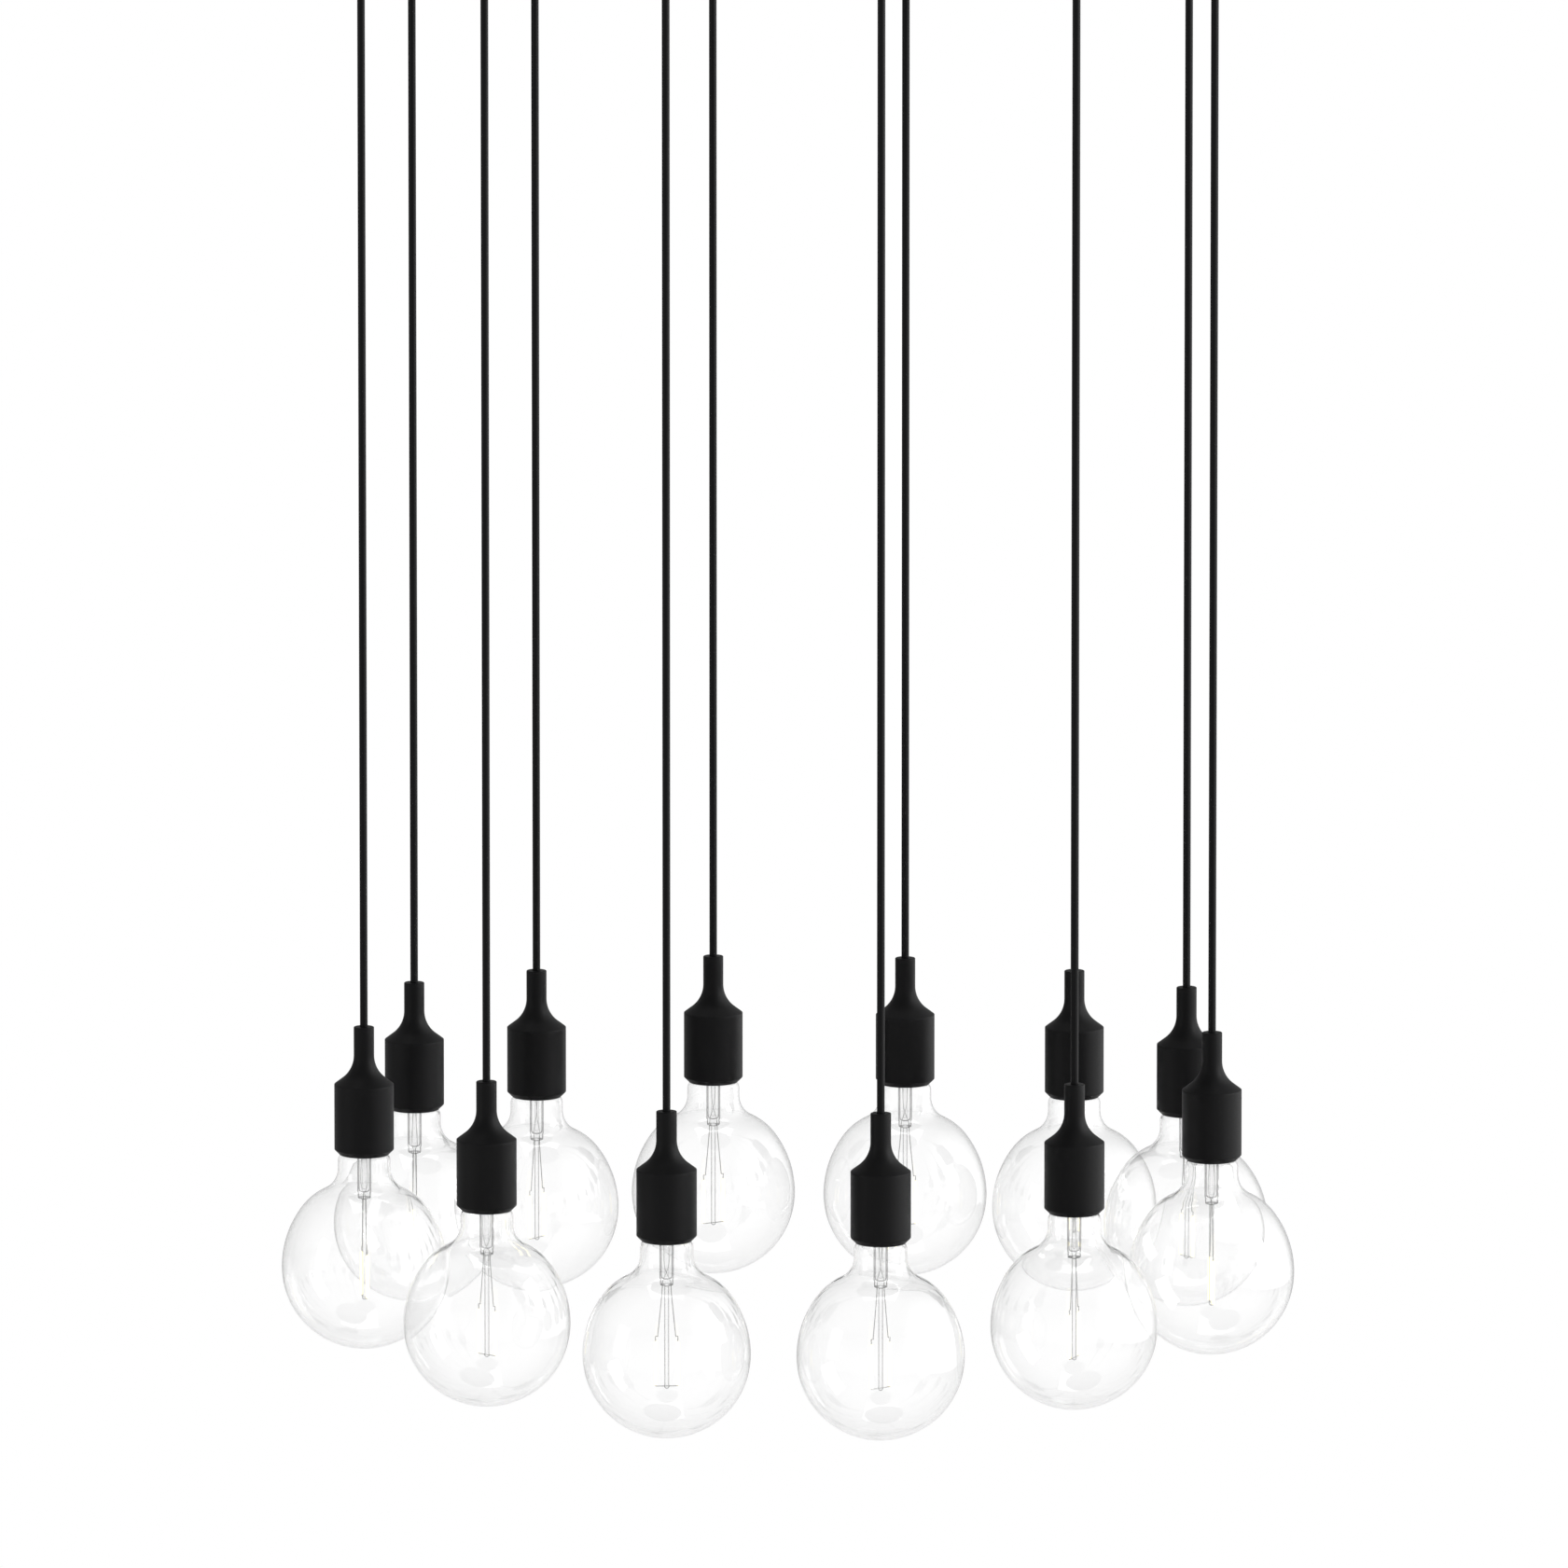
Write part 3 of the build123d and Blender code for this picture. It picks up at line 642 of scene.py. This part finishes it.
capShape = {
    "low": 7.5, "skirt": 4.0, "crest": 13.1, "root": 12.2, "wall": 0.6, "top": 26.01,
    "hem": 1, "hemEdge": 0.25, "band": 1.6, "crown": 1.6, "crownEdge": (-1.2, 0.7),
    "holeEdge": [(0.6, 0), (0, -0.1)], "holeLow": 0.4, "insideEdge": [(-0.6, -0.6), (0, -1.4)],
    "pitch": 25.4 / 7, "runOut": 1.6, "fade": 2.2, "valley": 0.8, "near": 0.1,
    "threadRings": 44, "sides": 72, "smooth": 50,
}  # fmt: skip

# the black glass in the cap's crown and the soldered pip on it
insulatorShape = {
    "hole": 8.5, "fit": 0.1, "seat": 0.5, "edge": [(0, 0.1), (-0.4, 0.4)], "brim": 5.5,
    "brimEdge": [(0.6, -0.25), (0, 0)], "top": 30.5, "sides": 48,
}  # fmt: skip
pipShape = {
    "radius": 4.8, "small": 3.4, "height": 1.6, "seat": 0.1, "wall": 0.3,
    "edge": [(0.5, -0.35), (-0.6, -0.05)], "sides": 48,
}  # fmt: skip


def rollThread(shell):
    # the thread's valley climbs one pitch a turn and fades out at both ends
    shape = capShape
    crest, top = shape["crest"], shape["top"]
    start = shape["low"] + shape["skirt"]
    low = start - shape["runOut"]
    for point in shell.data.vertices:
        radius = math.hypot(point.co.x, point.co.y) / mm
        height = point.co.z / mm
        if radius < crest - shape["near"] or not low <= height <= top:
            continue
        turn = math.atan2(point.co.y, point.co.x) / (2 * math.pi)
        phase = (height - start) / shape["pitch"] - turn
        wave = 0.5 - 0.5 * math.cos(2 * math.pi * phase)
        depth = (crest - shape["root"]) * wave ** shape["valley"]
        fade = min(1, max(0, height - low) / shape["fade"], max(0, top - height) / shape["fade"])
        growth = (radius - depth * fade) / radius
        point.co.x *= growth
        point.co.y *= growth


def makeCap():
    shape = capShape
    crest, low, top = shape["crest"], shape["low"], shape["top"]
    inner, hole = shape["root"] - shape["wall"], insulatorShape["hole"]
    crownTop, rings = top + shape["crown"], shape["threadRings"]
    threadLow = low + shape["skirt"] - shape["runOut"]
    outline = [(inner, low + shape["hem"]), (inner, low), (crest - shape["hemEdge"], low)]
    outline += [(crest, low + shape["hemEdge"]), (crest, low + shape["band"])]
    for ring in range(rings + 1):
        outline.append((crest, threadLow + (top - threadLow) * ring / rings))
    outline += softCorner((crest, top), [shape["crownEdge"]])
    outline += softCorner((hole, crownTop), shape["holeEdge"])
    outline.append((hole, top + shape["holeLow"]))
    outline += softCorner((inner, top), shape["insideEdge"])
    outline.append((inner, low + shape["hem"]))
    shell = turnedPiece("capShell", outline, shape["sides"])
    rollThread(shell)
    dress(shell, capNickel)
    smoothPiece(shell, shape["smooth"])

    shape = insulatorShape
    glassRadius, glassTop = hole - shape["fit"], shape["top"]
    outline = [(0, top + shape["seat"]), (glassRadius, top + shape["seat"])]
    outline += softCorner((glassRadius, crownTop), shape["edge"])
    outline += softCorner((shape["brim"], glassTop), shape["brimEdge"])
    outline.append((0, glassTop))
    insulator = turnedPiece("capInsulator", outline, shape["sides"])
    dress(insulator, insulatorBlack)
    smoothPiece(insulator)

    shape = pipShape
    pipTop, radius = glassTop + shape["height"], shape["radius"]
    outline = [(0, glassTop - shape["seat"]), (radius, glassTop - shape["seat"])]
    outline.append((radius, glassTop + shape["wall"]))
    outline += softCorner((shape["small"], pipTop), shape["edge"])
    outline.append((0, pipTop))
    pip = turnedPiece("capPip", outline, shape["sides"])
    dress(pip, capNickel)
    smoothPiece(pip)
    return joinPieces("capPattern", insulator, pip, shell)


placeCopies(
    makeCap(), "lampCap_", "bulb_mount_", "bulb_turn_", "rim", turned=True
)
print("lamp caps made")


# glass stems with their tube, pinch and rod, measured down from the rim; the steps at the
# edges are taken from where the plain surfaces would meet

stemShape = {
    "radius": 5.3, "wall": 0.9, "middle": 10, "flareRadius": 10.0, "flareTop": 16.5,
    "flareLow": 10.5, "flareEdge": [(0, -0.2), (-0.3, -1.1)],
    "flareFoot": [(1.2, 1.6), (0.2, -0.6), (0, -2.5)],
    "flareLip": [(0, -0.2), (-0.5, 0), (-1.5, -0.6)], "flareThroat": [(0.9, 1.2), (0, -1.5)],
    "pinchTop": 30.0, "pinchLow": 34.0, "pinchRadius": 4.95, "pinchEdge": 0.9,
    "pinchShoulder": [(0, 1.2), (-0.25, 0.3), (-0.45, -0.3)], "pinchStart": 31.1,
    "cup": [(0, 3.2), (-0.5, 1.3), (-1.6, 0.5)], "rod": 1.7, "rodRoot": [(0.5, 0), (0, -0.6)],
    "rodMiddle": 60, "rodEnd": 112.0, "bead": 2.0, "beadNeck": 1.6, "beadTurn": 35,
    "tube": 1.6, "tubeLow": 27.4, "tubeTip": [(-0.5, 0.1), (0, 1.2)], "tubeTop": 20.5,
    "edgeSteps": 5, "beadSteps": 8, "sides": 48, "tubeSides": 28, "weld": 0.01, "smooth": 35,
}  # fmt: skip


def makeStem():
    shape = stemShape
    radius, inner, flare = shape["radius"], shape["radius"] - shape["wall"], shape["flareRadius"]
    edge, rod, tube = shape["pinchEdge"], shape["rod"], shape["tube"]
    flareTop, flareLow, pinchTop = shape["flareTop"], shape["flareLow"], -shape["pinchTop"]
    pinchLow, middle = -shape["pinchLow"], -shape["middle"]
    beadCentre = (0, shape["bead"] - shape["rodEnd"])
    outline = softCorner((flare, flareTop), shape["flareEdge"])
    outline += softCorner((radius, flareLow), shape["flareFoot"])
    outline.append((radius, middle))
    outline += softCorner((radius, pinchTop), shape["pinchShoulder"])
    outline.append((shape["pinchRadius"], -shape["pinchStart"]))
    pinchCentre = (shape["pinchRadius"] - edge, pinchLow + edge)
    outline += arcPoints(pinchCentre, edge, 0, -90, shape["edgeSteps"])
    outline += softCorner((rod, pinchLow), shape["rodRoot"])
    outline += [(rod, -shape["rodMiddle"]), (rod, beadCentre[1] + shape["beadNeck"])]
    outline += arcPoints(beadCentre, shape["bead"], shape["beadTurn"], -90, shape["beadSteps"])
    outside = turnedPiece("stemOutside", outline, shape["sides"])
    # the hollow above the pinch, as its own inner wall joined to the flare's rim
    hollow = softCorner((flare, flareTop), shape["flareLip"])
    hollow += softCorner((inner, flareLow), shape["flareThroat"])
    hollow.append((inner, middle))
    hollow += softCorner((inner, pinchTop), shape["cup"])
    hollow.append((0, pinchTop))
    inside = turnedPiece("stemInside", hollow, shape["sides"])
    piece = joinPieces("stemPattern", inside, outside)
    bpy.ops.object.mode_set(mode="EDIT")
    bpy.ops.mesh.select_all(action="SELECT")
    bpy.ops.mesh.remove_doubles(threshold=shape["weld"] * mm)
    bpy.ops.mesh.normals_make_consistent(inside=False)
    bpy.ops.object.mode_set(mode="OBJECT")
    dress(piece, stemGlass, rodGlass)
    # the rod below the pinch is narrower, so its edges show more
    for face in piece.data.polygons:
        face.material_index = int(face.center.z < pinchLow * mm)
    # the exhaust tube that the maker left standing in the stem
    outline = [(0, -shape["tubeLow"])]
    outline += softCorner((tube, -shape["tubeLow"]), shape["tubeTip"])
    outline += [(tube, 0), (tube, shape["tubeTop"]), (0, shape["tubeTop"])]
    exhaust = turnedPiece("exhaustTube", outline, shape["tubeSides"])
    dress(exhaust, tubeGlass)
    return smoothPiece(joinPieces("stemPattern", exhaust, piece), shape["smooth"])


placeCopies(
    makeStem(), "stem_", "bulb_mount_", "bulb_turn_", "rim", turned=True
)
print("stems made")


# lead wires with their hooks, and the cross wire, in the plane of the two filaments

leadShape = {
    "thick": 0.7, "innerThick": 0.45, "roundness": 2, "steps": 5,
    # from the cap down beside the exhaust tube, and across just above the pinch
    "inner": [
        (2.4, 1.2, 24.0), (2.4, 1.2, 0), (2.2, 2.0, -12), (1.8, 2.3, -18),
        (0.6, 2.5, -23), (-1.6, 2.0, -28), (-2.6, 0.9, -30.6), (-3.1, 0, -32.2),
    ],
    # from the pinch down and outwards to its hook
    "outer": [
        (3.1, 0, -32.2), (3.3, 0, -35), (3.4, 0, -38), (3.7, 0, -42), (6.5, 0, -70.4),
        (6.66, 0, -72.0), (6.7, 0, -72.5), (7.3, 0, -72.45), (8.0, 0, -72.4),
        (8.45, 0, -72.5), (8.4, 0, -73.2), (8.2, 0, -76.0),
    ],
    # from one filament's foot to the other's
    "cross": [
        (-8.2, 0, -108.3), (-8.35, 0, -109.5), (-8.3, 0, -110.1), (-7.6, 0, -110.2),
        (0, 0, -110.1), (7.6, 0, -109.9), (8.3, 0, -109.8), (8.35, 0, -109.2), (8.2, 0, -108.0),
    ],
}  # fmt: skip


def wirePiece(name, runs, diameter):
    routes = [[[value * mm for value in place] for place in run] for run in runs]
    piece = routedPiece(name, routes, diameter, leadShape["roundness"])
    for spline in piece.data.splines:
        spline.resolution_u = leadShape["steps"]
    selectOnly(piece)
    bpy.ops.object.convert(target="MESH")
    bpy.ops.object.shade_smooth()
    return bpy.context.object


def makeLeads():
    # the second wire of a pair is the first one, turned half round about the stem
    inner = [[(side * x, side * y, z) for x, y, z in leadShape["inner"]] for side in (-1, 1)]
    outer = [[(side * x, side * y, z) for x, y, z in leadShape["outer"]] for side in (-1, 1)]
    thin = wirePiece("innerLeads", inner, leadShape["innerThick"])
    thick = wirePiece("outerLeads", [*outer, leadShape["cross"]], leadShape["thick"])
    piece = joinPieces("leadPattern", thin, thick)
    dress(piece, wireNickel)
    return piece


placeCopies(
    makeLeads(), "leadWires_", "bulb_mount_", "bulb_turn_", "rim", turned=True
)
print("lead wires made")


# filaments: coated strips with rounded ends, hung between the hooks and the cross wire

filamentShape = {
    "radius": 1.3, "x": 8.3, "top": 76.2, "low": 109.6, "endSteps": 4, "sides": 20, "smooth": 60,
}  # fmt: skip


def makeFilament(side):
    shape = filamentShape
    radius, steps = shape["radius"], shape["endSteps"]
    outline = arcPoints((0, radius - shape["low"]), radius, -90, 0, steps)
    outline += arcPoints((0, -shape["top"] - radius), radius, 0, 90, steps)
    piece = turnedPiece("filamentStick", outline, shape["sides"])
    piece.location.x = side * shape["x"] * mm
    applyPlace()
    dress(piece, filamentGlow)
    return smoothPiece(piece, shape["smooth"])


bothFilaments = joinPieces("filamentPattern", makeFilament(-1), makeFilament(1))
placeCopies(bothFilaments, "filaments_", "bulb_mount_", "bulb_turn_", "rim", turned=True)
print("filaments made")


# finishes of the CAD pieces that stay

keptFinishes = {
    "canopy_pan": powderCoat,
    "ceiling_bracket": zincSteel,
    "canopy_screws": screwBlack,
    "cord_grips": nylonBlack,
    "grip_nuts": nylonBlack,
    "cord_stubs": cordSheath,
    "terminal_block": terminalWhite,
    "terminal_clamps": brassBright,
    "terminal_screws": zincSteel,
    "inner_leads": leadGrey,
    "earth_terminal": zincSteel,
    "supply_saddle": zincSteel,
}
for nodeName, finish in keptFinishes.items():
    dress(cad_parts[nodeName], finish)
print("kept pieces finished")


# studio: floor, world and lamps

studio = {
    "floorHeight": -2.4, "floorSize": 9.0, "floorLift": 0.34, "floorGrain": 3, "floorDetail": 2,
    "floorTones": [(0.35, (0.86, 0.86, 0.86)), (0.65, (0.90, 0.90, 0.90))],
    "floorFinish": {"Roughness": 0.9, "Specular IOR Level": 0.1},
}  # fmt: skip


def makeFloor():
    deselectAll()
    bpy.ops.mesh.primitive_plane_add(
        size=studio["floorSize"], location=(0, 0, studio["floorHeight"])
    )
    floor = namePiece(bpy.context.object, "studioFloor")
    applyPlace()
    pale, shader = newMaterial("floorPale", studio["floorFinish"])
    noise = addGrain(pale, studio["floorGrain"], studio["floorDetail"])
    tones = addRamp(pale, noise, "Fac", studio["floorTones"])
    linkNodes(pale, tones, "Color", shader, "Base Color")
    # brighter where it is looked at than it lights, so that it is white and keeps its shadow,
    # and clear from below, so that it never hides the lamps
    path = addNode(pale, "ShaderNodeLightPath")
    lift = {1: -studio["floorLift"], 2: studio["floorLift"]}
    seen = addNode(pale, "ShaderNodeMath", lift, operation="MULTIPLY_ADD")
    light = addNode(pale, "ShaderNodeEmission", {"Color": (1, 1, 1, 1)})
    both, whole = addNode(pale, "ShaderNodeAddShader"), addNode(pale, "ShaderNodeMixShader")
    side = addNode(pale, "ShaderNodeNewGeometry")
    clear = addNode(pale, "ShaderNodeBsdfTransparent")
    linkNodes(pale, path, "Is Diffuse Ray", seen, 0)
    linkNodes(pale, seen, "Value", light, "Strength")
    linkNodes(pale, shader, "BSDF", both, 0)
    linkNodes(pale, light, "Emission", both, 1)
    linkNodes(pale, side, "Backfacing", whole, "Fac")
    linkNodes(pale, both, "Shader", whole, 1)
    linkNodes(pale, clear, "BSDF", whole, 2)
    linkNodes(pale, whole, "Shader", pale.node_tree.nodes["Material Output"], "Surface")
    dress(floor, pale)


# what gloss sees, as a room whose walls are told by direction: X right, Y away, Z up
glossRoom = {
    "low": 0.50, "high": 1.15, "frontEdge": (0.10, 0.14), "top": (0.50, -0.10),
    "rightEdge": (0.40, 0.95), "rightLight": 2.6, "daylight": 0.5,
}  # fmt: skip


def makeWorld():
    world = bpy.data.worlds.new("studioWorld")
    bpy.context.scene.world = world
    world.use_nodes = True
    nodes, links = world.node_tree.nodes, world.node_tree.links
    nodes.clear()
    place = nodes.new("ShaderNodeTexCoord")
    parts = nodes.new("ShaderNodeSeparateXYZ")
    links.new(place.outputs["Generated"], parts.inputs["Vector"])

    def span(axis, start, end, low, high):
        node = nodes.new("ShaderNodeMapRange")
        node.interpolation_type = "SMOOTHSTEP"
        names = ("From Min", "From Max", "To Min", "To Max")
        for name, value in zip(names, (start, end, low, high)):
            node.inputs[name].default_value = value
        links.new(parts.outputs[axis], node.inputs["Value"])
        return node.outputs["Result"]

    def combine(kind, first, second):
        node = nodes.new("ShaderNodeMath")
        node.operation = kind
        links.new(first, node.inputs[0])
        links.new(second, node.inputs[1])
        return node.outputs["Value"]

    def background(strength):
        node = nodes.new("ShaderNodeBackground")
        node.inputs["Color"].default_value = (1, 1, 1, 1)
        node.inputs["Strength"].default_value = strength
        return node

    def mix(factor, first, second):
        node = nodes.new("ShaderNodeMixShader")
        links.new(factor, node.inputs["Fac"])
        links.new(first.outputs[0], node.inputs[1])
        links.new(second.outputs[0], node.inputs[2])
        return node

    # a pale room with a wide soft window in front and a bright strip on the right
    low, high = glossRoom["low"], glossRoom["high"]
    edge, top, right = glossRoom["frontEdge"], glossRoom["top"], glossRoom["rightEdge"]
    window = combine(
        "MULTIPLY",
        span("Y", -edge[1], -edge[0], high - low, 0),
        span("Z", top[1], top[0], 1, 0),
    )
    strip = span("X", right[0], right[1], low, low + glossRoom["rightLight"])
    gloss = background(1)
    links.new(combine("ADD", window, strip), gloss.inputs["Color"])
    path = nodes.new("ShaderNodeLightPath")
    seen = combine("MAXIMUM", path.outputs["Is Camera Ray"], path.outputs["Is Transmission Ray"])
    lit = mix(path.outputs["Is Glossy Ray"], background(glossRoom["daylight"]), gloss)
    output = nodes.new("ShaderNodeOutputWorld")
    links.new(mix(seen, lit, background(1)).outputs[0], output.inputs["Surface"])


lamps = {
    "keyRight": {"place": (3.4, -0.6, 0.5), "size": (1.4, 2.2), "watts": 75},
    "fillLeft": {"place": (-3.6, -1.6, -0.2), "size": (1.2, 2.0), "watts": 18},
    "topSoft": {"place": (0, 0.4, 2.6), "size": (2.4, 2.4), "watts": 40},
}
lampAim = Vector((0, 0, -1.05))


def hangLamp(name, facts):
    place = Vector(facts["place"])
    turn = (lampAim - place).to_track_quat("-Z", "Y").to_euler()
    deselectAll()
    bpy.ops.object.light_add(type="AREA", location=place, rotation=turn)
    lamp = bpy.context.object
    lamp.name = name
    lamp.data.shape = "RECTANGLE"
    lamp.data.size, lamp.data.size_y = facts["size"]
    lamp.data.energy = facts["watts"]
    lamp.visible_camera = False


makeFloor()
makeWorld()
for lampName, lampFacts in lamps.items():
    hangLamp(lampName, lampFacts)
bpy.context.scene.view_settings.view_transform = "Standard"
print("studio lit")

bpy.context.view_layer.update()
